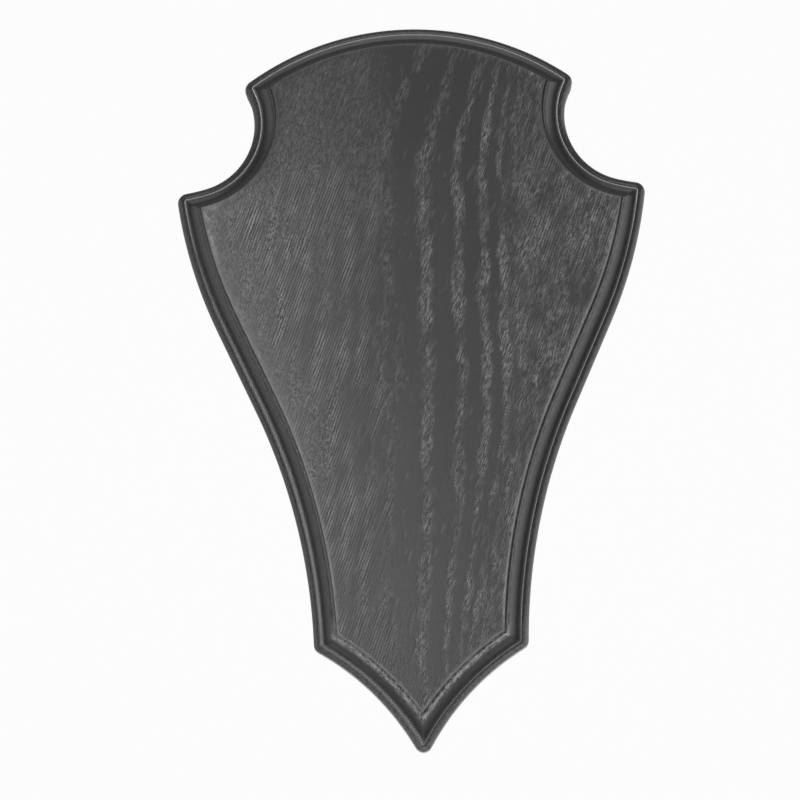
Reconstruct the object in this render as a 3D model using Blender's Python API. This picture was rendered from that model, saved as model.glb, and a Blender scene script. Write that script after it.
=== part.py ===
"""Antler mounting plaque: one upright shield of dark stained oak with a routed cove and bead edge.

Metres, +Z up. The flat back lies in the plane y = 0 and faces +Y, the front faces -Y, and the
shield is symmetric about x = 0. The origin is the point of the back that is fixed to the wall.
"""
import math

import bmesh
import bpy

for old in list(bpy.data.objects):
    bpy.data.objects.remove(old, do_unlink=True)

MM = 0.001

# Outline. A drop is measured down from the crown of the top arc. Half widths and drops of corners
# are those of the point where the two neighbouring curves would meet before the corner is rounded.
TOP_CORNER_HALF_WIDTH = 53.8 * MM
TOP_CORNER_DROP = 18.1 * MM
NOTCH_RADIUS = 21.5 * MM
# The notch opens into a flatter hollow flare, which leans this far from level at the shoulder.
FLARE_RADIUS = 60.0 * MM
FLARE_LEAN = math.radians(6.0)
SHOULDER_HALF_WIDTH = 75.25 * MM
SHOULDER_DROP = 52.9 * MM
# Middle of the straight stretch between the bulging and the hollow part of each flank.
FLANK_HALF_WIDTH = 56.75 * MM
FLANK_DROP = 110.5 * MM
FLANK_LEAN = math.radians(24.6)
FLANK_STRAIGHT = 29.4 * MM
HEEL_HALF_WIDTH = 33.55 * MM
HEEL_DROP = 199.4 * MM
BASE_ARC_RADIUS = 82.2 * MM
TIP_DROP = 234.7 * MM
CORNER_RADIUS = 3.3 * MM
TIP_RADIUS = 2.7 * MM

# Edge profile, from the raised flat field outwards: a step down, a narrow ledge, a hollow quarter
# round (the cove), a short fillet and a quarter round bead that runs into the wall.
THICKNESS = 18.0 * MM
STEP_DEPTH = 3.8 * MM
LEDGE_WIDTH = 1.2 * MM
COVE_RADIUS = 4.5 * MM
FILLET_DEPTH = 0.6 * MM
BEAD_RADIUS = 2.4 * MM
BACK_EASE = 0.5 * MM

# Height of the crown above the point that is fixed to the wall.
CROWN_HEIGHT = 60.0 * MM

# Numbers of straight pieces in each curve.
TOP_STEPS = 15
NOTCH_STEPS = 18
FLARE_STEPS = 3
UPPER_FLANK_STEPS = 11
LOWER_FLANK_STEPS = 17
BASE_STEPS = 12
CORNER_STEPS = 6
COVE_STEPS = 7
BEAD_STEPS = 5

BULGING = 1
HOLLOW = -1


def minus(a, b):
    """The step from point b to point a."""
    return (a[0] - b[0], a[1] - b[1])


def moved(point, direction, distance):
    """A point moved along a direction."""
    return (point[0] + direction[0] * distance, point[1] + direction[1] * distance)


def unit(a):
    """The same direction with length one."""
    length = math.hypot(a[0], a[1])
    return (a[0] / length, a[1] / length)


def on_mirror(point):
    """The point's mirror image across the centre line."""
    return (-point[0], point[1])


def circle_through(a, b, radius):
    """Centre of the circle of the given radius through a and b, on its outer side, away from x = 0."""
    middle = ((a[0] + b[0]) / 2, (a[1] + b[1]) / 2)
    chord = minus(b, a)
    half = math.hypot(chord[0], chord[1]) / 2
    rise = math.sqrt(radius * radius - half * half)
    across = unit((-chord[1], chord[0]))
    if across[0] < 0:
        across = (-across[0], -across[1])
    return moved(middle, across, rise)


def tangent_circle(join, outward, point, side):
    """Centre and radius of the circle that leaves the flank smoothly at join and passes through point."""
    step = minus(point, join)
    reach = step[0] * outward[0] + step[1] * outward[1]
    radius = abs((step[0] ** 2 + step[1] ** 2) / (2 * reach))
    return moved(join, outward, -side * radius), radius


def inset_radius(curve, inset):
    """Radius of a curve of the outline after it has been moved into the wood."""
    return curve["radius"] - curve["side"] * inset


def crossing(centre_a, radius_a, centre_b, radius_b, near):
    """The crossing of two circles that lies nearer to the given point."""
    gap = minus(centre_b, centre_a)
    distance = math.hypot(gap[0], gap[1])
    along = (radius_a ** 2 - radius_b ** 2 + distance ** 2) / (2 * distance)
    aside = math.sqrt(max(radius_a ** 2 - along ** 2, 0.0))
    direction = unit(gap)
    foot = moved(centre_a, direction, along)
    across = (-direction[1], direction[0])
    one = moved(foot, across, aside)
    other = moved(foot, across, -aside)
    if math.dist(one, near) < math.dist(other, near):
        return one
    return other


def meeting(first, second, inset, near):
    """Point near a corner where two curves, both moved into the wood by inset, cross."""
    return crossing(
        first["centre"], inset_radius(first, inset), second["centre"], inset_radius(second, inset), near
    )


def outward_normal(curve, point):
    """Direction that leaves the wood at right angles to a curve, at a point beside it."""
    direction = unit(minus(point, curve["centre"]))
    return (direction[0] * curve["side"], direction[1] * curve["side"])


def turned(start, end, count):
    """Directions evenly spread from one unit direction to another, both included."""
    first = math.atan2(start[1], start[0])
    swing = math.atan2(end[1], end[0]) - first
    swing = math.remainder(swing, 2 * math.pi)
    return [
        (math.cos(first + swing * k / count), math.sin(first + swing * k / count))
        for k in range(count + 1)
    ]


def curve_points(curve, inset, start, end):
    """Evenly spread points of a curve moved into the wood, between two of its points."""
    first = unit(minus(start, curve["centre"]))
    last = unit(minus(end, curve["centre"]))
    radius = inset_radius(curve, inset)
    return [moved(curve["centre"], d, radius) for d in turned(first, last, curve["steps"])]


CROWN = (0.0, 0.0)
TOP_CORNER = (TOP_CORNER_HALF_WIDTH, -TOP_CORNER_DROP)
SHOULDER = (SHOULDER_HALF_WIDTH, -SHOULDER_DROP)
HEEL = (HEEL_HALF_WIDTH, -HEEL_DROP)
TIP = (0.0, -TIP_DROP)
FLANK_MIDDLE = (FLANK_HALF_WIDTH, -FLANK_DROP)
FLANK_DOWN = (-math.sin(FLANK_LEAN), -math.cos(FLANK_LEAN))
FLANK_OUT = (math.cos(FLANK_LEAN), -math.sin(FLANK_LEAN))
UPPER_JOIN = moved(FLANK_MIDDLE, FLANK_DOWN, -FLANK_STRAIGHT / 2)
LOWER_JOIN = moved(FLANK_MIDDLE, FLANK_DOWN, FLANK_STRAIGHT / 2)

TOP_RADIUS = (TOP_CORNER_HALF_WIDTH ** 2 + TOP_CORNER_DROP ** 2) / (2 * TOP_CORNER_DROP)
UPPER_CENTRE, UPPER_RADIUS = tangent_circle(UPPER_JOIN, FLANK_OUT, SHOULDER, BULGING)
LOWER_CENTRE, LOWER_RADIUS = tangent_circle(LOWER_JOIN, FLANK_OUT, HEEL, HOLLOW)

TOP = {"centre": (0.0, -TOP_RADIUS), "radius": TOP_RADIUS, "side": BULGING, "steps": TOP_STEPS}
FLARE_UP = (math.sin(FLARE_LEAN), math.cos(FLARE_LEAN))
FLARE_CENTRE = moved(SHOULDER, FLARE_UP, FLARE_RADIUS)
NOTCH_CENTRE = crossing(
    FLARE_CENTRE, FLARE_RADIUS - NOTCH_RADIUS, TOP_CORNER, NOTCH_RADIUS, SHOULDER
)
FLARE_OUT = unit(minus(FLARE_CENTRE, NOTCH_CENTRE))
FLARE_JOIN = moved(NOTCH_CENTRE, FLARE_OUT, -NOTCH_RADIUS)
NOTCH = {"centre": NOTCH_CENTRE, "radius": NOTCH_RADIUS, "side": HOLLOW, "steps": NOTCH_STEPS}
FLARE = {"centre": FLARE_CENTRE, "radius": FLARE_RADIUS, "side": HOLLOW, "steps": FLARE_STEPS}
UPPER_FLANK = {"centre": UPPER_CENTRE, "radius": UPPER_RADIUS, "side": BULGING, "steps": UPPER_FLANK_STEPS}
LOWER_FLANK = {"centre": LOWER_CENTRE, "radius": LOWER_RADIUS, "side": HOLLOW, "steps": LOWER_FLANK_STEPS}
BASE = {
    "centre": circle_through(HEEL, TIP, BASE_ARC_RADIUS),
    "radius": BASE_ARC_RADIUS,
    "side": HOLLOW,
    "steps": BASE_STEPS,
}
OTHER_BASE = dict(BASE, centre=on_mirror(BASE["centre"]))


def corner(first, second, inset, sharp, rounding):
    """Points around a rounded corner, from the end of one curve to the start of the next.

    The rounding shrinks as the corner moves into the wood, and beyond its radius all the points
    fall together in the mitre of the two curves.
    """
    centre = meeting(first, second, rounding, sharp)
    if inset >= rounding:
        return [meeting(first, second, inset, sharp)] * (CORNER_STEPS + 1)
    start = outward_normal(first, centre)
    end = outward_normal(second, centre)
    return [moved(centre, d, rounding - inset) for d in turned(start, end, CORNER_STEPS)]


def ring(inset):
    """The whole outline moved into the wood by inset, clockwise from the crown, as (x, z) points."""
    crown = (CROWN[0], CROWN[1] - inset)
    top_corner = corner(TOP, NOTCH, inset, TOP_CORNER, CORNER_RADIUS)
    shoulder = corner(FLARE, UPPER_FLANK, inset, SHOULDER, CORNER_RADIUS)
    heel = corner(LOWER_FLANK, BASE, inset, HEEL, CORNER_RADIUS)
    tip = corner(BASE, OTHER_BASE, inset, TIP, TIP_RADIUS)
    flare_join = moved(FLARE_JOIN, FLARE_OUT, -inset)
    upper_join = moved(UPPER_JOIN, FLANK_OUT, -inset)
    lower_join = moved(LOWER_JOIN, FLANK_OUT, -inset)
    half = curve_points(TOP, inset, crown, top_corner[0])
    half += top_corner[1:-1]
    half += curve_points(NOTCH, inset, top_corner[-1], flare_join)
    half += curve_points(FLARE, inset, flare_join, shoulder[0])[1:]
    half += shoulder[1:-1]
    half += curve_points(UPPER_FLANK, inset, shoulder[-1], upper_join)
    half += curve_points(LOWER_FLANK, inset, lower_join, heel[0])
    half += heel[1:-1]
    half += curve_points(BASE, inset, heel[-1], tip[0])
    half += tip[1:CORNER_STEPS // 2 + 1]
    return half + [on_mirror(point) for point in reversed(half[1:-1])]


def profile():
    """The edge profile from the back to the flat field, as (inset, height above the back) pairs."""
    bead_foot = THICKNESS - STEP_DEPTH - COVE_RADIUS - FILLET_DEPTH - BEAD_RADIUS
    ridge = THICKNESS - STEP_DEPTH - COVE_RADIUS
    ledge = THICKNESS - STEP_DEPTH
    field_inset = BEAD_RADIUS + COVE_RADIUS + LEDGE_WIDTH
    steps = [(BACK_EASE, 0.0), (0.0, BACK_EASE)]
    for k in range(BEAD_STEPS + 1):
        angle = math.pi / 2 * k / BEAD_STEPS
        inset = BEAD_RADIUS * (1 - math.cos(angle))
        steps.append((inset, bead_foot + BEAD_RADIUS * math.sin(angle)))
    for k in range(COVE_STEPS + 1):
        angle = math.pi / 2 * k / COVE_STEPS
        inset = BEAD_RADIUS + COVE_RADIUS * math.sin(angle)
        steps.append((inset, ridge + COVE_RADIUS * (1 - math.cos(angle))))
    steps.append((field_inset, ledge))
    steps.append((field_inset, THICKNESS))
    return steps


def shield():
    """Lofts the rings of the profile into one closed body."""
    body = bmesh.new()
    rings = []
    for inset, height in profile():
        row = []
        for x, z in ring(inset):
            place = (x, -height, z + CROWN_HEIGHT)
            if row and math.dist(row[-1].co, place) < 1e-7:
                row.append(row[-1])
            else:
                row.append(body.verts.new(place))
        rings.append(row)
    for lower, upper in zip(rings, rings[1:]):
        for k in range(len(lower)):
            after = (k + 1) % len(lower)
            face = []
            for vertex in (lower[k], lower[after], upper[after], upper[k]):
                if vertex not in face:
                    face.append(vertex)
            if len(face) > 2:
                body.faces.new(face)
    for row in (rings[0], rings[-1]):
        face = []
        for vertex in row:
            if vertex not in face:
                face.append(vertex)
        body.faces.new(face)
    bmesh.ops.recalc_face_normals(body, faces=body.faces)
    mesh = bpy.data.meshes.new("plaque")
    body.to_mesh(mesh)
    body.free()
    return mesh


oak = bpy.data.materials.new("dark stained oak")
oak.use_nodes = True
oak.node_tree.nodes["Principled BSDF"].inputs["Base Color"].default_value = (0.045, 0.044, 0.044, 1.0)
oak.node_tree.nodes["Principled BSDF"].inputs["Roughness"].default_value = 0.5

plaque = bpy.data.objects.new("plaque", shield())
plaque.data.materials.append(oak)
bpy.context.scene.collection.objects.link(plaque)
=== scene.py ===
"""An antler mounting plaque: an oak shield, routed round its edge and stained black."""
import math

import bpy
import numpy as np
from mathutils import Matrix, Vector
from mathutils.geometry import delaunay_2d_cdt


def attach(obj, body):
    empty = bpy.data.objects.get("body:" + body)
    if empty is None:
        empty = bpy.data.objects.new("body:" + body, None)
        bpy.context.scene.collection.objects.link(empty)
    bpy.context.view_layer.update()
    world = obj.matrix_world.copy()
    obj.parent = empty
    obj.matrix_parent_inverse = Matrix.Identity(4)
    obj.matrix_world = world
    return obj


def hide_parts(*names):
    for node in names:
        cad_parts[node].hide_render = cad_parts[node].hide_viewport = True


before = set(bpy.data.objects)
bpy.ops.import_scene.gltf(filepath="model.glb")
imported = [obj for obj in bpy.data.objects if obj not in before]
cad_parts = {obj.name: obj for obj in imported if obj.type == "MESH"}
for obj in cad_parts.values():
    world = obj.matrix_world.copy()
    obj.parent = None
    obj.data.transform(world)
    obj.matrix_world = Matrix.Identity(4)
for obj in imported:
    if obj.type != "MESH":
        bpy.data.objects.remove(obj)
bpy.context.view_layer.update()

# The camera looks at the shield's face from a step away, a little below its middle and tilted
# up, through a long lens that keeps the two sides of the edge alike.
VIEW_LENS = 103.40
SENSOR_WIDTH = 36.0
VIEW_PLACE = (0.00741, -0.72800, -0.15867)
VIEW_TURN = (97.7185, 1.256, 1.1525)
camera = bpy.data.objects.new("camera", bpy.data.cameras.new("camera"))
camera.data.lens = VIEW_LENS
camera.data.sensor_width = SENSOR_WIDTH
camera.data.sensor_fit = "HORIZONTAL"
camera.location = VIEW_PLACE
camera.rotation_euler = [math.radians(angle) for angle in VIEW_TURN]
bpy.context.scene.collection.objects.link(camera)
bpy.context.scene.camera = camera


# The shield is one board of oak, 18 mm thick, sawn to its outline and routed along the edge with
# one cove and bead bit, so every line of the edge keeps the same distance from the outline. The
# outline is a chain of arcs, and each ring of the edge is that chain moved into the wood.
MM = 0.001
TOP_CORNER = (53.8 * MM, -18.1 * MM)
SHOULDER = (75.25 * MM, -52.9 * MM)
HEEL = (33.55 * MM, -199.4 * MM)
TIP = (0.0, -234.7 * MM)
NOTCH_RADIUS = 21.5 * MM
FLARE_RADIUS = 60.0 * MM
FLARE_LEAN = math.radians(6.0)
FLANK_MIDDLE = (56.75 * MM, -110.5 * MM)
FLANK_LEAN = math.radians(24.6)
FLANK_STRAIGHT = 29.4 * MM
BASE_ARC_RADIUS = 82.2 * MM
CORNER_RADIUS = 3.3 * MM
TIP_RADIUS = 2.7 * MM
CROWN_HEIGHT = 60.0 * MM
BULGING = 1
HOLLOW = -1
TOP_STEPS = 40
NOTCH_STEPS = 40
FLARE_STEPS = 6
UPPER_FLANK_STEPS = 30
STRAIGHT_STEPS = 16
LOWER_FLANK_STEPS = 46
BASE_STEPS = 34
CORNER_STEPS = 10


def minus(a, b):
    """The step from point b to point a."""
    return (a[0] - b[0], a[1] - b[1])


def moved(point, direction, distance):
    """A point moved along a direction."""
    return (point[0] + direction[0] * distance, point[1] + direction[1] * distance)


def unit(a):
    """The same direction with length one."""
    length = math.hypot(a[0], a[1])
    return (a[0] / length, a[1] / length)


def arc(centre, radius, side, steps):
    """One curve of the outline: its circle, the side the wood is on and its number of pieces."""
    return {"centre": centre, "radius": radius, "side": side, "steps": steps}


def inset_radius(curve, inset):
    """Radius of a curve after it has been moved into the wood."""
    return curve["radius"] - curve["side"] * inset


def crossing(centre_a, radius_a, centre_b, radius_b, near):
    """The crossing of two circles that lies nearer to the given point."""
    gap = minus(centre_b, centre_a)
    distance = math.hypot(gap[0], gap[1])
    along = (radius_a ** 2 - radius_b ** 2 + distance ** 2) / (2 * distance)
    aside = math.sqrt(max(radius_a ** 2 - along ** 2, 0.0))
    foot = moved(centre_a, unit(gap), along)
    across = (-unit(gap)[1], unit(gap)[0])
    choices = (moved(foot, across, aside), moved(foot, across, -aside))
    return min(choices, key=lambda choice: math.dist(choice, near))


def meeting(first, second, inset, near):
    """Point near a corner where two curves, both moved into the wood, cross."""
    radii = [inset_radius(curve, inset) for curve in (first, second)]
    return crossing(first["centre"], radii[0], second["centre"], radii[1], near)


def turned(start, end, count):
    """Directions evenly spread from one unit direction to another, both included."""
    first = math.atan2(start[1], start[0])
    swing = math.remainder(math.atan2(end[1], end[0]) - first, 2 * math.pi)
    angles = [first + swing * k / count for k in range(count + 1)]
    return [(math.cos(a), math.sin(a)) for a in angles]


def curve_points(curve, inset, start, end):
    """Evenly spread points of a curve moved into the wood, between two of its points."""
    first = unit(minus(start, curve["centre"]))
    last = unit(minus(end, curve["centre"]))
    radius = inset_radius(curve, inset)
    return [moved(curve["centre"], d, radius) for d in turned(first, last, curve["steps"])]


def corner(first, second, inset, sharp, rounding):
    """Points round a corner, whose rounding shrinks to a mitre further into the wood."""
    if inset >= rounding:
        return [meeting(first, second, inset, sharp)] * (CORNER_STEPS + 1)
    centre = meeting(first, second, rounding, sharp)
    outward = []
    for curve in (first, second):
        direction = unit(minus(centre, curve["centre"]))
        outward.append((direction[0] * curve["side"], direction[1] * curve["side"]))
    fan = turned(outward[0], outward[1], CORNER_STEPS)
    return [moved(centre, direction, rounding - inset) for direction in fan]


def through(join, outward, point, side, steps):
    """The curve that leaves the straight flank smoothly at join and passes through point."""
    step = minus(point, join)
    rise = step[0] * outward[0] + step[1] * outward[1]
    radius = abs((step[0] ** 2 + step[1] ** 2) / (2 * rise))
    return arc(moved(join, outward, -side * radius), radius, side, steps)


flank_down = (-math.sin(FLANK_LEAN), -math.cos(FLANK_LEAN))
flank_out = (math.cos(FLANK_LEAN), -math.sin(FLANK_LEAN))
upper_join = moved(FLANK_MIDDLE, flank_down, -FLANK_STRAIGHT / 2)
lower_join = moved(FLANK_MIDDLE, flank_down, FLANK_STRAIGHT / 2)
top_radius = (TOP_CORNER[0] ** 2 + TOP_CORNER[1] ** 2) / (-2 * TOP_CORNER[1])
top = arc((0.0, -top_radius), top_radius, BULGING, TOP_STEPS)
flare_centre = moved(SHOULDER, (math.sin(FLARE_LEAN), math.cos(FLARE_LEAN)), FLARE_RADIUS)
flare = arc(flare_centre, FLARE_RADIUS, HOLLOW, FLARE_STEPS)
notch_centre = crossing(
    flare_centre, FLARE_RADIUS - NOTCH_RADIUS, TOP_CORNER, NOTCH_RADIUS, SHOULDER
)
notch = arc(notch_centre, NOTCH_RADIUS, HOLLOW, NOTCH_STEPS)
flare_out = unit(minus(flare_centre, notch_centre))
flare_join = moved(notch_centre, flare_out, -NOTCH_RADIUS)
upper_flank = through(upper_join, flank_out, SHOULDER, BULGING, UPPER_FLANK_STEPS)
lower_flank = through(lower_join, flank_out, HEEL, HOLLOW, LOWER_FLANK_STEPS)
chord = minus(TIP, HEEL)
half_chord = math.hypot(chord[0], chord[1]) / 2
chord_middle = moved(HEEL, unit(chord), half_chord)
base_reach = math.sqrt(BASE_ARC_RADIUS ** 2 - half_chord ** 2)
base_centre = moved(chord_middle, unit((-chord[1], chord[0])), base_reach)
base = arc(base_centre, BASE_ARC_RADIUS, HOLLOW, BASE_STEPS)
other_base = arc((-base_centre[0], base_centre[1]), BASE_ARC_RADIUS, HOLLOW, BASE_STEPS)


def ring(inset):
    """The whole outline moved into the wood by inset, clockwise from the crown."""
    corners = {
        "top": corner(top, notch, inset, TOP_CORNER, CORNER_RADIUS),
        "shoulder": corner(flare, upper_flank, inset, SHOULDER, CORNER_RADIUS),
        "heel": corner(lower_flank, base, inset, HEEL, CORNER_RADIUS),
        "tip": corner(base, other_base, inset, TIP, TIP_RADIUS),
    }
    bend = moved(flare_join, flare_out, -inset)
    upper = moved(upper_join, flank_out, -inset)
    lower = moved(lower_join, flank_out, -inset)
    straight = [FLANK_STRAIGHT * k / STRAIGHT_STEPS for k in range(1, STRAIGHT_STEPS)]
    half = curve_points(top, inset, (0.0, -inset), corners["top"][0])
    half += corners["top"][1:-1]
    half += curve_points(notch, inset, corners["top"][-1], bend)
    half += curve_points(flare, inset, bend, corners["shoulder"][0])[1:]
    half += corners["shoulder"][1:-1]
    half += curve_points(upper_flank, inset, corners["shoulder"][-1], upper)
    half += [moved(upper, flank_down, distance) for distance in straight]
    half += curve_points(lower_flank, inset, lower, corners["heel"][0])
    half += corners["heel"][1:-1]
    half += curve_points(base, inset, corners["heel"][-1], corners["tip"][0])
    half += corners["tip"][1:CORNER_STEPS // 2 + 1]
    return half + [(-x, z) for x, z in reversed(half[1:-1])]


# The bit's profile, from the back outwards and up to the flat field. Sanding has softened every
# outer edge a little.
THICKNESS = 18.0 * MM
STEP_DEPTH = 3.8 * MM
LEDGE_WIDTH = 1.0 * MM
COVE_RADIUS = 4.5 * MM
FILLET_DEPTH = 0.6 * MM
BEAD_RADIUS = 2.4 * MM
BACK_EASE = 0.5 * MM
BACK_EASE_SAG = 0.3 * BACK_EASE
RIDGE_EASE = 0.2 * MM
LEDGE_EASE = 0.3 * MM
INNER_EASE = 0.05 * MM
FIELD_EASE = 0.3 * MM
BEAD_STEPS = 8
COVE_STEPS = 11
EASE_STEPS = 3
FIELD_EASE_STEPS = 4
COVE_START = -94
COVE_END = -176
ledge_height = THICKNESS - STEP_DEPTH
ridge_height = ledge_height - COVE_RADIUS
bead_foot = ridge_height - FILLET_DEPTH - BEAD_RADIUS
ledge_inset = BEAD_RADIUS + COVE_RADIUS
step_inset = ledge_inset + LEDGE_WIDTH
field_inset = step_inset + FIELD_EASE


def rounded(inset, height, radius, start, end, steps):
    """A curve of the profile about a centre, by degrees that turn from outwards to upwards."""
    angles = [math.radians(start + (end - start) * k / steps) for k in range(steps + 1)]
    return [(inset - radius * math.cos(a), height + radius * math.sin(a)) for a in angles]


profile = [(BACK_EASE, 0.0), (BACK_EASE_SAG, BACK_EASE_SAG), (0.0, BACK_EASE)]
profile += [(0.0, bead_foot / 2)]
profile += rounded(BEAD_RADIUS, bead_foot, BEAD_RADIUS, 0, 90, BEAD_STEPS)
profile += rounded(
    BEAD_RADIUS + RIDGE_EASE, ridge_height - RIDGE_EASE, RIDGE_EASE, 0, 90, EASE_STEPS
)
profile += rounded(BEAD_RADIUS, ledge_height, COVE_RADIUS, COVE_START, COVE_END, COVE_STEPS)
profile += rounded(
    ledge_inset + LEDGE_EASE, ledge_height - LEDGE_EASE, LEDGE_EASE, 0, 90, EASE_STEPS
)
profile += [(step_inset - INNER_EASE, ledge_height), (step_inset, ledge_height + INNER_EASE)]
profile += [(step_inset, ledge_height + STEP_DEPTH / 2)]
profile += rounded(field_inset, THICKNESS - FIELD_EASE, FIELD_EASE, 0, 90, FIELD_EASE_STEPS)

# Lines of the profile, each by its inset, its height and how far it reaches. Along the outer ones
# the stain is rubbed thin and a highlight is painted on as well; in the inner ones shade is
# painted, partly as pooled stain; and the grain is torn on the cove's side.
# The three rub lines paint a highlight on the arrises as well as rubbed stain; the three pool
# lines paint shade into the hollows, partly as pooled stain.
RIDGE_RUB_AND_HIGHLIGHT = (BEAD_RADIUS - 0.02 * MM, ridge_height, 0.28 * MM)
FIELD_RUB_AND_HIGHLIGHT = (field_inset - 0.15 * MM, THICKNESS, 0.36 * MM)
LEDGE_RUB_AND_HIGHLIGHT = (ledge_inset - 0.05 * MM, ledge_height - 0.1 * MM, 0.35 * MM)
FILLET_SHADE_POOL = (BEAD_RADIUS, ridge_height - FILLET_DEPTH, 0.45 * MM)
STEP_SHADE_POOL = (step_inset - 0.40 * MM, ledge_height, 0.65 * MM)
COVE_SHADE_POOL = (BEAD_RADIUS + 0.35 * COVE_RADIUS, ridge_height + 0.06 * COVE_RADIUS, 1.5 * MM)
COVE_SIDE = (BEAD_RADIUS + 0.97 * COVE_RADIUS, ridge_height + 0.72 * COVE_RADIUS, 1.4 * MM)


def ramp(value, none, full):
    """How far a value has gone on its way from none to full, 0 to 1."""
    return np.clip((value - none) / (full - none), 0, 1)


def fading(distance, reach):
    """Nearness that fades away with distance, 1 to 0."""
    return np.exp(-(distance / reach) ** 2)


def near_line(line, inset, height):
    """How near a place on the profile is to one of its lines, 0 to 1."""
    at, level, reach = line
    return fading(np.hypot(inset - at, height - level), reach)


# The growth rings of the board: flat-sawn, with their middle a little left of the centre line.
# Right of it the pore-rich early wood shows as separate bands that crowd together towards the
# edge; left of it they lie so close that the whole face is full of pores.
FIBRE_LEAN = math.radians(21.0)
NOISE_TABLE = 64
NOISE_START = (17.3, 29.1)
field_edge = np.array(ring(field_inset))


def lumps(across, along, width, length, seed):
    """Smooth random values between -1 and 1, in lumps of the given size in millimetres."""
    table = np.random.default_rng(seed).uniform(-1, 1, (NOISE_TABLE, NOISE_TABLE))
    u = across / (width * MM) + NOISE_START[0]
    v = along / (length * MM) + NOISE_START[1]
    i = np.floor(u).astype(int)
    j = np.floor(v).astype(int)
    a = u - i
    b = v - j
    a = a * a * (3 - 2 * a)
    b = b * b * (3 - 2 * b)
    here_i, here_j = i % NOISE_TABLE, j % NOISE_TABLE
    next_i, next_j = (i + 1) % NOISE_TABLE, (j + 1) % NOISE_TABLE
    low = table[here_i, here_j] * (1 - a) + table[next_i, here_j] * a
    high = table[here_i, next_j] * (1 - a) + table[next_i, next_j] * a
    return low * (1 - b) + high * b


def in_fibre_axes(x, z):
    """Distances across and along the fibres."""
    across = x * math.cos(FIBRE_LEAN) - z * math.sin(FIBRE_LEAN)
    along = x * math.sin(FIBRE_LEAN) + z * math.cos(FIBRE_LEAN)
    return across, along


def from_fibre_axes(across, along):
    """The place on the face that lies so far across and along the fibres."""
    x = across * math.cos(FIBRE_LEAN) + along * math.sin(FIBRE_LEAN)
    z = -across * math.sin(FIBRE_LEAN) + along * math.cos(FIBRE_LEAN)
    return x, z


# Places on the face are given in millimetres from here: side, to the right of the centre line,
# and drop, below the crown. A pair of them is where something begins and where it is full. Each
# wave of the rings has its depth, its width and length, and the seed of its lumps.
FIRST_BAND = 3.5
LAST_BAND = 46.0
BAND_RATIO = 0.745
RING_WAVES = ((1.1, 14, 22, 3), (0.6, 3, 7, 4), (0.45, 1.2, 2.6, 9))
TOP_BEND = 52.0
TOP_BEND_LENGTH = 38.0
FOOT_BEND = 122.0
FOOT_BEND_LENGTH = 60.0
EARLY_SHARE = 0.29
SHARE_LIMITS = (0.1, 0.6)
NARROW_TO_CROWN = (60.0, 20.0)
DASH_SIZE = (0.60, 3.4)
CROWDED_BANDS = (2.6, 4.4)
CROWDED_LEVEL = 0.44
CLOSED_TO_CROWN = (62.0, 32.0)
CLOSED_TO_FOOT = (105.0, 145.0)
LEFT_RING = 6.3
LEFT_RING_LEAN = 0.10
LEFT_HALF = (-4.0, -13.0)
FURTHER_LEFT = (-10.0, -30.0)
BELOW_CROWN = (40.0, 70.0)
NEAR_CROWN = (60.0, 40.0)


def band_number(side):
    """Which band of early wood lies at a place, as a number that runs up to the right."""
    left_over = np.clip((LAST_BAND - side) / (LAST_BAND - FIRST_BAND), 0.02, 1.6)
    return np.log(left_over) / math.log(BAND_RATIO)


def right_bands(x, z, side, drop):
    """Early wood right of the middle: bands that bend over at both ends, broken into dashes."""
    rough = band_number(side)
    top_bend = np.clip((TOP_BEND - drop) / TOP_BEND_LENGTH, 0, 1.4) ** 1.4
    top_bend = top_bend * np.clip(15.0 - 2.6 * rough, 4.5, 17)
    foot_bend = np.clip((drop - FOOT_BEND) / FOOT_BEND_LENGTH, 0, 1.3) ** 1.7
    foot_bend = foot_bend * np.clip(2.2 + 5.2 * rough, 1, 16)
    number = band_number(side - top_bend + foot_bend)
    share = EARLY_SHARE + 0.05 * number + 0.13 * lumps(x, z, 5, 9, 14)
    share = np.clip(share, *SHARE_LIMITS) - 0.10 * ramp(drop, *NARROW_TO_CROWN)
    dashes = lumps(*in_fibre_axes(x, z), *DASH_SIZE, 21)
    waves = np.cos(2 * math.pi * number) - np.cos(math.pi * share)
    band = np.clip(0.45 + 1.1 * waves + 0.3 * dashes, 0, 1)
    crowded = ramp(number, *CROWDED_BANDS)
    band = band * (1 - crowded) + (CROWDED_LEVEL + 0.17 * band) * crowded
    band = band * (1 - 0.48 * ramp(drop, *CLOSED_TO_CROWN))
    band = band * (1 + (0.45 + 0.45 * crowded) * dashes)
    return band * (1 - 0.20 * ramp(drop, *CLOSED_TO_FOOT))


def early_wood(x, z):
    """Share of open pores at a place on the face, 0 to 1; z is measured up from the crown."""
    drop = -z / MM
    side = x / MM
    for depth, width, length, seed in RING_WAVES:
        side = side + depth * lumps(x, z, width, length, seed)
    left = ramp(side - 3.0 * lumps(x, z, 9, 30, 15), *LEFT_HALF)
    low = np.maximum(ramp(drop, *BELOW_CROWN), 0.25)
    left_waves = np.cos(2 * math.pi * (side + LEFT_RING_LEAN * drop) / LEFT_RING)
    left_rings = 0.30 + 0.18 * ramp(side, *FURTHER_LEFT) + 0.24 * low * left_waves
    band = right_bands(x, z, side, drop) * (1 - left) + left_rings * left
    uneven = 1 - left * (1 - low)
    patches = 0.60 * lumps(x, z, 2.4, 6.0, 5) + 0.42 * lumps(x, z, 8, 15, 6)
    patches = 0.80 + uneven * patches
    patches = patches * (1 - 0.30 * left * ramp(drop, *NEAR_CROWN))
    return np.clip(band * patches, 0, 1)


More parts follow.
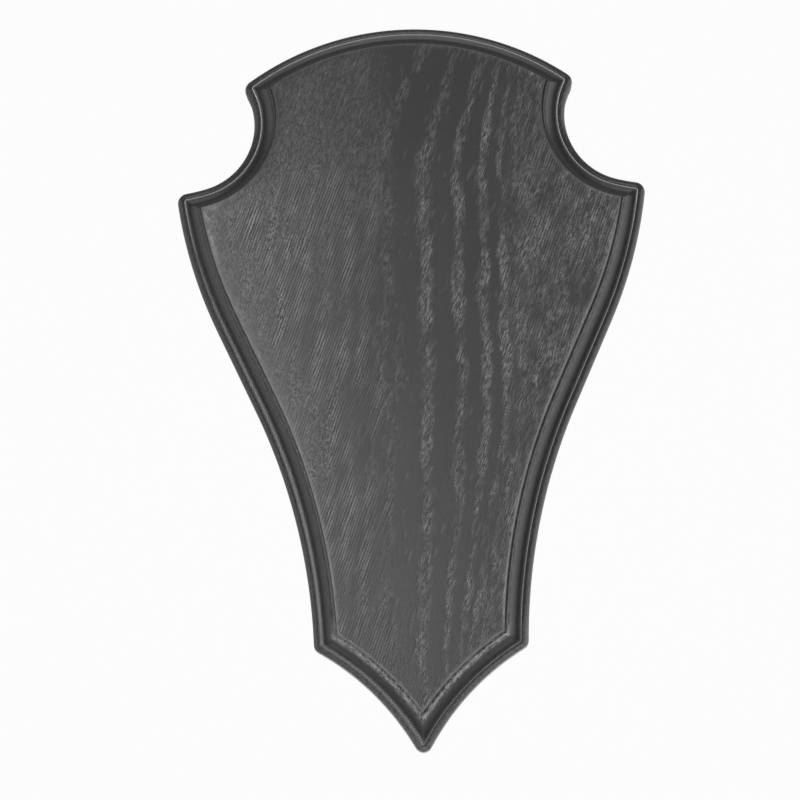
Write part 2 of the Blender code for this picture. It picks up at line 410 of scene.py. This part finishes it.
def from_rim(x, z):
    """Distance from the edge of the flat field."""
    nearest = np.full(np.shape(x), 1.0)
    for (x0, z0), (x1, z1) in zip(field_edge, np.roll(field_edge, -1, axis=0)):
        step_x, step_z = x1 - x0, z1 - z0
        length = math.hypot(step_x, step_z)
        if length == 0:
            continue
        share = np.clip(((x - x0) * step_x + (z - z0) * step_z) / length ** 2, 0, 1)
        nearest = np.minimum(nearest, np.hypot(x - x0 - share * step_x, z - z0 - share * step_z))
    return nearest


# The stain has taken unevenly: the left of the face stayed thin and combed, and the field is
# closed along its left flank. Painted light is added there too: the left and lower face are
# lighter where the light falls on them, and a soft highlight is painted along the left flank's
# rim.
ABOVE_HEEL = (145.0, 110.0)
FLANK_SIDE = (-22.0, -36.0)
FLANK_DROP = (48.0, 60.0)
COMBED_LEFT = (-6.0, -14.0)
COMBED_RIGHT = (22.0, 34.0)
COMBED_DROP = (30.0, 60.0)
COMBED_MORE = (70.0, 120.0)
CLEAR_OF_RIM = 8.0 * MM
THIN_AND_LIT_LEFT = (-8.0, -56.0)
THIN_AND_LIT_LEFT_LEAN = 0.12
THIN_AND_LIT_MIDDLE = 90.0
THIN_AND_LIT_DROP = (25.0, 75.0)
THIN_AND_LIT_LOW = (25.0, 175.0)
THIN_AND_LIT_RIM = 9.0 * MM


def left_flank(x, z):
    """How near a place is to the left flank, 0 to 1."""
    return ramp(x / MM, *FLANK_SIDE) * ramp(-z / MM, *FLANK_DROP)


def combed(x, z, rim):
    """Where the pores are cut lengthwise and run on as long fine lines, 0 to 1."""
    side = x / MM
    drop = -z / MM
    left = ramp(side, *COMBED_LEFT) * np.maximum(ramp(drop, *COMBED_DROP), 0.15)
    left = left * (1 - 0.9 * ramp(drop, *ABOVE_HEEL) * fading(rim, CLEAR_OF_RIM))
    left = left * (0.62 + 0.28 * ramp(drop, *COMBED_MORE) + 1.1 * lumps(x, z, 7, 13, 12))
    right = ramp(side, *COMBED_RIGHT) * (0.22 + 0.5 * lumps(x, z, 5, 11, 31))
    return np.clip(0.10 + right + left, 0, 1)


def thinness_and_light(x, z, rim):
    """How thinly the stain lies, with painted light added, 0 to 1: most on the left and low down,
    least towards the crown.
    """
    drop = -z / MM
    # Painted light: the left and lower face are made lighter where the light falls on them,
    # together with the thin stain there.
    left = ramp(x / MM + THIN_AND_LIT_LEFT_LEAN * (drop - THIN_AND_LIT_MIDDLE), *THIN_AND_LIT_LEFT) ** 1.15
    left = left * (0.25 + 0.75 * ramp(drop, *THIN_AND_LIT_DROP))
    low = ramp(drop, *THIN_AND_LIT_LOW)
    # Painted light along the left flank's rim.
    near = left_flank(x, z) * fading(rim, THIN_AND_LIT_RIM)
    uneven = 0.06 * lumps(x, z, 11, 26, 8)
    return np.clip(0.04 + 0.86 * left + 0.10 * low + 0.30 * near + uneven, 0, 1)


# Each open pore is a short groove along the fibres, cut when the board was planed. The grooves
# are cut into a lattice of points that lies along the fibres too.
ACROSS_STEP = 0.25 * MM
ALONG_STEP = 0.90 * MM
PORE_COUNT = 13000
STRAY_PORES = 0.03
PORE_LENGTHS = (0.8, 2.4)
PORE_WIDTHS = (0.17, 0.24)
PORE_DEPTHS = (0.05, 0.14)
PORE_LEAN = math.radians(3.0)
COMBED_LONGER = 1.6
COMBED_SHALLOWER = 0.45
rng = np.random.default_rng(7)
edge_across, edge_along = in_fibre_axes(field_edge[:, 0], field_edge[:, 1])
across_lines = np.arange(edge_across.min(), edge_across.max(), ACROSS_STEP)
along_lines = np.arange(edge_along.min(), edge_along.max(), ALONG_STEP)
grid_across, grid_along = np.meshgrid(across_lines, along_lines, indexing="ij")
grid_along = grid_along + (np.arange(len(across_lines)) % 2)[:, None] * ALONG_STEP / 2
grid_x, grid_z = from_fibre_axes(grid_across, grid_along)
pore_depth = np.zeros_like(grid_x)
seed_x = rng.uniform(field_edge[:, 0].min(), field_edge[:, 0].max(), PORE_COUNT)
seed_z = rng.uniform(field_edge[:, 1].min(), field_edge[:, 1].max(), PORE_COUNT)
chance = STRAY_PORES + (1 - STRAY_PORES) * early_wood(seed_x, seed_z)
kept = rng.uniform(0, 1, PORE_COUNT) < chance
lengths = rng.uniform(*PORE_LENGTHS, PORE_COUNT) * MM
widths = rng.uniform(*PORE_WIDTHS, PORE_COUNT) * MM
depths = rng.uniform(*PORE_DEPTHS, PORE_COUNT) * MM
long_share = combed(seed_x, seed_z, from_rim(seed_x, seed_z))
lengths = lengths * (1 + COMBED_LONGER * long_share)
depths = depths * (1 - COMBED_SHALLOWER * long_share)
leans = rng.normal(0.0, PORE_LEAN, PORE_COUNT)
seed_across, seed_along = in_fibre_axes(seed_x, seed_z)
for k in np.flatnonzero(kept):
    reach_across = 3 * widths[k] + abs(leans[k]) * lengths[k]
    a0 = np.searchsorted(across_lines, seed_across[k] - reach_across)
    a1 = np.searchsorted(across_lines, seed_across[k] + reach_across)
    b0 = np.searchsorted(along_lines, seed_along[k] - lengths[k])
    b1 = np.searchsorted(along_lines, seed_along[k] + lengths[k])
    db = grid_along[a0:a1, b0:b1] - seed_along[k]
    da = grid_across[a0:a1, b0:b1] - seed_across[k] - leans[k] * db
    groove = depths[k] * fading(da, widths[k]) * np.clip(1 - (db / lengths[k]) ** 2, 0, 1)
    pore_depth[a0:a1, b0:b1] = np.maximum(pore_depth[a0:a1, b0:b1], groove)


def inside(x, z, edge):
    """Which points lie inside a closed chain of points."""
    found = np.zeros(x.shape, bool)
    for (x0, z0), (x1, z1) in zip(edge, np.roll(edge, -1, axis=0)):
        if z0 == z1:
            continue
        spans = (z0 > z) != (z1 > z)
        found ^= spans & (x < x0 + (z - z0) / (z1 - z0) * (x1 - x0))
    return found


# The mesh: rings of the edge, closed at the back, and the face as one net of fine triangles whose
# long sides run with the fibres.
EDGE_GAP = 0.32 * MM
SHARP_ANGLE = math.radians(50)
SAME_PLACE = 1e-7
NET_PRECISION = 1e-9
places = []
edge_places = []
ring_rows = []
for inset, height in profile:
    row = []
    for x, z in ring(inset):
        place = (x, -height, z + CROWN_HEIGHT)
        if row and math.dist(places[row[-1]], place) < SAME_PLACE:
            row.append(row[-1])
            continue
        row.append(len(places))
        places.append(place)
        edge_places.append((x, z, inset, height))
    ring_rows.append(row)
faces = []
for lower_row, upper_row in zip(ring_rows, ring_rows[1:]):
    for k, here in enumerate(lower_row):
        after = (k + 1) % len(lower_row)
        patch = dict.fromkeys((here, lower_row[after], upper_row[after], upper_row[k]))
        if len(patch) > 2:
            faces.append(tuple(patch))
faces.append(tuple(reversed(dict.fromkeys(ring_rows[0]))))

rim = list(dict.fromkeys(ring_rows[-1]))
rim_edges = [(k, (k + 1) % len(rim)) for k in range(len(rim))]
inner_edge = np.array(list(dict.fromkeys(ring(field_inset + EDGE_GAP))))
net = inside(grid_x, grid_z, inner_edge)
net_x, net_z, net_depth = grid_x[net], grid_z[net], pore_depth[net]
flat_points = [Vector((places[k][0], places[k][2] - CROWN_HEIGHT)) for k in rim]
flat_points += [Vector(point) for point in zip(net_x, net_z)]
meshed = delaunay_2d_cdt(flat_points, rim_edges, [], 1, NET_PRECISION)
found_points, triangles, origins = meshed[0], meshed[2], meshed[3]
numbers = []
taken = []
for point, source in zip(found_points, origins):
    if source[0] < len(rim):
        numbers.append(rim[source[0]])
        continue
    numbers.append(len(places))
    taken.append(source[0] - len(rim))
    places.append((point[0], net_depth[taken[-1]] - THICKNESS, point[1] + CROWN_HEIGHT))
faces += [tuple(numbers[k] for k in triangle) for triangle in triangles]

# What is marked on the mesh for the finish: where the stain is rubbed, with a painted highlight,
# where shade is painted in, partly as pooled stain, where the stain is thin, with painted light,
# how open the wood is, and where the bit has torn it.
CROWN_PART = (72.0, 50.0)
NOTCH_PART = (66.0, 52.0)
FOOT_PART = (188.0, 196.0)
RIGHT_PART = (0.0, 20.0)
LEFT_PART = (0.0, -40.0)
LEFT_NOTCH = (0.0, -20.0)
LEFT_SHOULDER = (-60.0, -62.0)
EDGE_PORES = 0.15
EDGE_COMB = 0.3
HIGHLIGHT_RIM = 1.1 * MM
SHADED_RIM = 1.6 * MM
CLOSED_RIM = 6.0 * MM
TORN_SHOULDER_RIM = 2.2 * MM
TORN_RIGHT_RIM = 0.8 * MM
CORNER_SHADE_POOL = 1.4 * MM


def edge_marks(x, z, inset, height):
    """The finish of the routed edge: a painted highlight on its rubbed lines, brightest at the
    crown, painted shade in its hollows, and grain torn most round the foot.
    """
    side = x / MM
    drop = -z / MM
    at_top = ramp(drop, *CROWN_PART)
    at_foot = ramp(drop, *FOOT_PART)
    at_left = ramp(side, *LEFT_PART)
    low_left = at_left * (1 - at_top)
    low_right = ramp(side, *RIGHT_PART) * (1 - at_top)
    # The ridge's rubbed line carries a painted highlight, made brightest at the crown, where
    # light falls from above.
    ridge = 0.58 + 0.75 * at_top - 0.16 * low_left - 0.2 * at_foot
    field = 0.25 - 0.20 * at_top - 0.10 * at_foot
    rubbed_and_highlit = [
        ridge * near_line(RIDGE_RUB_AND_HIGHLIGHT, inset, height),
        field * near_line(FIELD_RUB_AND_HIGHLIGHT, inset, height),
        0.08 * near_line(LEDGE_RUB_AND_HIGHLIGHT, inset, height),
    ]
    # Painted shade in the fillet's root, the step's root and the cove's bottom, partly pooled
    # stain.
    shades_and_pools = [near_line(line, inset, height) for line in (FILLET_SHADE_POOL, STEP_SHADE_POOL, COVE_SHADE_POOL)]
    torn = np.maximum.reduce([at_foot, 0.26 * low_right, 0.16 * low_left])
    return {
        "rubbed_and_highlit": np.maximum.reduce(rubbed_and_highlit),
        "pooled_and_shaded": 0.9 * np.maximum.reduce(shades_and_pools),
        "early": np.full_like(x, EDGE_PORES),
        "pore": np.zeros_like(x),
        "routed": np.ones_like(x),
        # The bead round the foot is painted lighter, partly thin stain and partly painted light
        # from below.
        "thin_stain_and_light": 0.8 * at_foot * (inset < BEAD_RADIUS) * (1 - at_left),
        "combed": np.full_like(x, EDGE_COMB),
        "torn": torn * near_line(COVE_SIDE, inset, height),
    }


def face_marks(x, z, depth):
    """The finish of the flat field: painted shade in the left notch, painted shade with pooled
    stain at the shoulders' corners, and a painted highlight along the left flank's rim.
    """
    side = x / MM
    drop = -z / MM
    rim_distance = from_rim(x, z)
    flank = left_flank(x, z)
    closed = 0.75 * ramp(drop, *ABOVE_HEEL) * flank * fading(rim_distance, CLOSED_RIM)
    left_notch = ramp(drop, *NOTCH_PART) * ramp(side, *LEFT_NOTCH)
    notch_shade = 0.45 * fading(rim_distance, SHADED_RIM) * left_notch
    shoulder_corner = meeting(flare, upper_flank, field_inset, SHOULDER)
    from_corner = np.hypot(np.abs(x) - shoulder_corner[0], z - shoulder_corner[1])
    torn_left = 0.3 * fading(rim_distance, TORN_SHOULDER_RIM) * ramp(side, *LEFT_SHOULDER)
    torn_right = 0.20 * fading(rim_distance, TORN_RIGHT_RIM) * ramp(side, *RIGHT_PART)
    return {
        # A soft painted highlight along the left flank's rim.
        "rubbed_and_highlit": 0.09 * flank * fading(rim_distance, HIGHLIGHT_RIM),
        # Painted shade at the rim of the left notch, and painted shade with pooled stain at the
        # shoulders' corners.
        "pooled_and_shaded": np.maximum(notch_shade, 0.85 * fading(from_corner, CORNER_SHADE_POOL)),
        "early": early_wood(x, z) * (1 - closed),
        "pore": depth / (PORE_DEPTHS[1] * MM),
        "routed": np.zeros_like(x),
        "thin_stain_and_light": thinness_and_light(x, z, rim_distance),
        "combed": combed(x, z, rim_distance),
        "torn": torn_left + torn_right,
    }


board = bpy.data.meshes.new("plaque_board")
board.from_pydata(places, [], faces)
board.validate()
board.shade_smooth()
board.set_sharp_from_angle(angle=SHARP_ANGLE)
on_edge = edge_marks(*np.array(edge_places).T)
on_face = face_marks(net_x[taken], net_z[taken], net_depth[taken])
for name, values in on_edge.items():
    layer = board.attributes.new(name, "FLOAT", "POINT")
    layer.data.foreach_set("value", np.concatenate((values, on_face[name])).astype(np.float32))
plaque = bpy.data.objects.new("plaque_board", board)
bpy.context.scene.collection.objects.link(plaque)
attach(plaque, "root")
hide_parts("plaque")


# The finish: a black stain under one thin coat of satin varnish. The stain is thinnest on the
# left of the face and along the rubbed edges, with painted light and a painted highlight added
# there, and painted shade, partly pooled stain, darkens the inner corners; where the bit has torn
# the grain, bare grey wood shows through it.
class Wire:
    """One output of a node, with plain arithmetic that adds the nodes which work it out."""

    def __init__(self, tree, socket):
        self.tree = tree
        self.socket = socket

    def node(self, kind, settings, output=0, **inputs):
        """Adds a node with its settings and the values or links of its sockets."""
        made = self.tree.nodes.new(kind)
        for name, value in settings.items():
            setattr(made, name, value)
        for name, value in inputs.items():
            place = int(name[1:]) if name[1:].isdigit() else name.replace("_", " ")
            if isinstance(value, Wire):
                self.tree.links.new(value.socket, made.inputs[place])
            else:
                made.inputs[place].default_value = value
        return Wire(self.tree, made.outputs[output])

    def math(self, operation, first, second):
        """One Math node on two values."""
        return self.node("ShaderNodeMath", {"operation": operation}, i0=first, i1=second)

    def __add__(self, other):
        return self.math("ADD", self, other)

    def __radd__(self, other):
        return self.math("ADD", other, self)

    def __sub__(self, other):
        return self.math("SUBTRACT", self, other)

    def __rsub__(self, other):
        return self.math("SUBTRACT", other, self)

    def __mul__(self, other):
        return self.math("MULTIPLY", self, other)

    def __rmul__(self, other):
        return self.math("MULTIPLY", other, self)

    def clipped(self):
        """The value held between 0 and 1."""
        return self.node("ShaderNodeClamp", {}, i0=self, i1=0.0, i2=1.0)

    def mixed(self, first, second):
        """A colour between two colours, by this value."""
        return self.node("ShaderNodeMix", {"data_type": "RGBA"}, 2, i0=self, i6=first, i7=second)


BLACK = (0.0, 0.0, 0.0, 1.0)
BARE_GREY = (1.0, 0.99, 0.98, 1.0)
TORN_GREY = (1.0, 0.96, 0.93, 1.0)
BLACKEST = 0.006
THIN_STAIN_AND_LIGHT = 0.050
GRAIN_LIGHT = 0.105
CLOUD_LIGHT = 0.008
LATE_WOOD_DARK = 0.06
BARE_WOOD_AND_HIGHLIGHT = 0.50
SHADE_AND_POOL_DARK = 0.85
TORN_LIGHT = 0.32
SATIN = 0.41
SHINE = 0.5
GRAIN_RISE = 0.10 * MM
stain = bpy.data.materials.new("black_stained_oak")
stain.use_nodes = True
tree = stain.node_tree
shader = tree.nodes["Principled BSDF"]
start = Wire(tree, None)
spot = start.node("ShaderNodeTexCoord", {}, "Object")


def marked(name):
    """A value marked on the mesh."""
    return start.node("ShaderNodeAttribute", {"attribute_name": name}, "Fac")


def along_fibres(stretch):
    """The place on the board, drawn out along the fibres."""
    return start.node(
        "ShaderNodeMapping", {"vector_type": "TEXTURE"},
        Vector=spot, Rotation=(0.0, FIBRE_LEAN, 0.0), Scale=(1.0, 1.0, stretch),
    )


def noise(where, scale, detail, roughness):
    """Cloudy noise at a place on the board."""
    return start.node(
        "ShaderNodeTexNoise", {}, Vector=where, Scale=scale, Detail=detail, Roughness=roughness
    )


early_value = marked("early")
rubbed_and_highlight_value = marked("rubbed_and_highlit")
routed_value = marked("routed")
thin_and_light_value = marked("thin_stain_and_light")
comb_value = marked("combed")
torn_value = marked("torn")

# The pores show as short pale streaks, as long combed lines on the left, and wobbly where the
# stain is thin; relief is 1 on the pale fibres and 0 between them.
short_streaks = noise(along_fibres(6.5), 2900.0, 1.0, 0.5)
fine_lines = noise(along_fibres(14.0), 3300.0, 1.0, 0.5)
comb_lines = start.node(
    "ShaderNodeTexWave", {"wave_type": "BANDS", "bands_direction": "X"}, 1,
    Vector=along_fibres(6.0), Scale=360.0, Distortion=3.5, Detail=1.0, Detail_Scale=0.8,
    Detail_Roughness=0.5,
)
long_streaks = 0.42 * fine_lines + 0.20 * comb_lines + 0.19
wobbles = 1.1 * noise(along_fibres(2.2), 1900.0, 2.0, 0.6) - 0.05
clouds = noise(along_fibres(2.0), 55.0, 2.0, 0.5)
specks = noise(spot, 2600.0, 2.0, 0.6)
loose_streaks = short_streaks + (2.2 * thin_and_light_value).clipped() * (wobbles - short_streaks)
streaks = loose_streaks + comb_value * (long_streaks - loose_streaks) + 0.42 * (specks - 0.5)
relief = (5.4 * streaks - 2.2).clipped()
grain = (early_value * (0.40 + 1.1 * (relief - 0.5)) + 0.50 * marked("pore")).clipped()

# The light that comes back: little from the stain, more from pores, rubbed edges with their
# painted highlight, and torn wood; painted light lifts the thin stain and painted shade darkens
# the hollows.
late_wood = thin_and_light_value * early_value * (1.0 - relief)
albedo = BLACKEST + THIN_STAIN_AND_LIGHT * thin_and_light_value + CLOUD_LIGHT * clouds + GRAIN_LIGHT * grain
albedo = albedo - LATE_WOOD_DARK * late_wood
albedo = albedo * (1.0 + (0.25 + 0.60 * comb_value) * (relief - 0.5))
rubbed_through_and_highlight = (rubbed_and_highlight_value * (0.85 + 0.3 * short_streaks)).clipped()
# A painted highlight along the arrises, partly rubbed-through stain.
albedo = albedo + rubbed_through_and_highlight * (BARE_WOOD_AND_HIGHLIGHT - albedo)
# Painted shade in the hollows, partly pooled stain.
albedo = albedo - SHADE_AND_POOL_DARK * marked("pooled_and_shaded") * albedo
scratches = (12.0 * noise(along_fibres(1.6), 850.0, 6.0, 0.85) - 5.5).clipped()
albedo = albedo + torn_value * TORN_LIGHT * scratches
half_torn = (2.5 * torn_value * (1.0 - torn_value)).clipped()
colour = albedo.clipped().mixed(BLACK, half_torn.mixed(BARE_GREY, TORN_GREY))
roughness = (SATIN + 0.12 * grain + 0.04 * specks - 0.12 * routed_value).clipped()
rise = (0.15 * specks - relief * (0.2 + early_value)) * (1.0 - 0.8 * routed_value)
bump = start.node("ShaderNodeBump", {}, Strength=0.6, Distance=GRAIN_RISE, Height=rise)
tree.links.new(colour.socket, shader.inputs["Base Color"])
tree.links.new(roughness.socket, shader.inputs["Roughness"])
tree.links.new(bump.socket, shader.inputs["Normal"])
shader.inputs["Specular IOR Level"].default_value = SHINE
board.materials.append(stain)


# The studio: a pale floor well below and a lit backdrop well behind, both plain, and soft light
# from large lamps on every side. The backdrop lights nothing itself.
WHITE = (1.0, 1.0, 1.0, 1.0)
FLOOR_LEVEL = -0.80
REACH = 6.0
BACKDROP_PLACE = 1.6
BACKDROP_TOP = 0.75
BACKDROP_GLOW = 0.96
DAYLIGHT = 0.42
MATT = 0.9
PALE = 0.9


def paint(name, level):
    """A plain matt paint."""
    made = bpy.data.materials.new(name)
    made.use_nodes = True
    coat = made.node_tree.nodes["Principled BSDF"].inputs
    coat["Base Color"].default_value = (level, level, level, 1.0)
    coat["Roughness"].default_value = MATT
    return made


def sheet(name, corners, coat):
    """A flat rectangle that is part of the studio."""
    mesh = bpy.data.meshes.new(name)
    mesh.from_pydata(corners, [], [(0, 1, 2, 3)])
    mesh.materials.append(coat)
    made = bpy.data.objects.new(name, mesh)
    bpy.context.scene.collection.objects.link(made)
    return made


sheet("floor", [
    (-REACH, -REACH, FLOOR_LEVEL), (REACH, -REACH, FLOOR_LEVEL),
    (REACH, REACH, FLOOR_LEVEL), (-REACH, REACH, FLOOR_LEVEL),
], paint("pale_paint", PALE))
lit_paint = paint("lit_backdrop", 0.0)
glow = lit_paint.node_tree.nodes["Principled BSDF"].inputs
glow["Emission Color"].default_value = WHITE
glow["Emission Strength"].default_value = BACKDROP_GLOW
backdrop = sheet("backdrop", [
    (-REACH, BACKDROP_PLACE, FLOOR_LEVEL), (REACH, BACKDROP_PLACE, FLOOR_LEVEL),
    (REACH, BACKDROP_PLACE, BACKDROP_TOP), (-REACH, BACKDROP_PLACE, BACKDROP_TOP),
], lit_paint)
backdrop.visible_diffuse = False
backdrop.visible_glossy = False

world = bpy.data.worlds.new("studio")
world.use_nodes = True
world.node_tree.nodes["Background"].inputs["Color"].default_value = WHITE
world.node_tree.nodes["Background"].inputs["Strength"].default_value = DAYLIGHT
bpy.context.scene.world = world
bpy.context.scene.view_settings.view_transform = "Standard"


def softbox(name, place, target, size, power):
    """A large soft lamp that faces a point."""
    lamp = bpy.data.lights.new(name, "AREA")
    lamp.shape = "RECTANGLE"
    lamp.size, lamp.size_y = size
    lamp.energy = power
    made = bpy.data.objects.new(name, lamp)
    made.location = place
    made.rotation_euler = (Vector(target) - Vector(place)).to_track_quat("-Z", "Y").to_euler()
    bpy.context.scene.collection.objects.link(made)


MIDDLE = (0.0, 0.0, -0.06)
BEHIND = (0.0, 0.1, -0.06)
FAR_BEHIND = (0.0, 0.2, -0.06)
softbox("key_softbox", (-0.25, -1.20, -0.13), MIDDLE, (0.25, 0.35), 4.6)
softbox("top_softbox", (0.0, -0.72, 0.82), MIDDLE, (0.8, 0.5), 3.0)
softbox("foot_softbox", (0.0, -0.45, -0.75), MIDDLE, (0.9, 0.5), 2.4)
softbox("left_softbox", (-1.1, -0.40, -0.10), MIDDLE, (0.7, 1.2), 2.3)
softbox("right_softbox", (1.1, -0.40, -0.10), MIDDLE, (0.7, 1.2), 3.4)
softbox("left_wall", (-1.2, 0.5, -0.10), BEHIND, (1.4, 1.4), 3.2)
softbox("right_wall", (1.2, 0.5, -0.10), BEHIND, (1.4, 1.4), 7.6)
softbox("low_card", (0.0, 0.5, -0.75), FAR_BEHIND, (1.4, 1.0), 12.0)
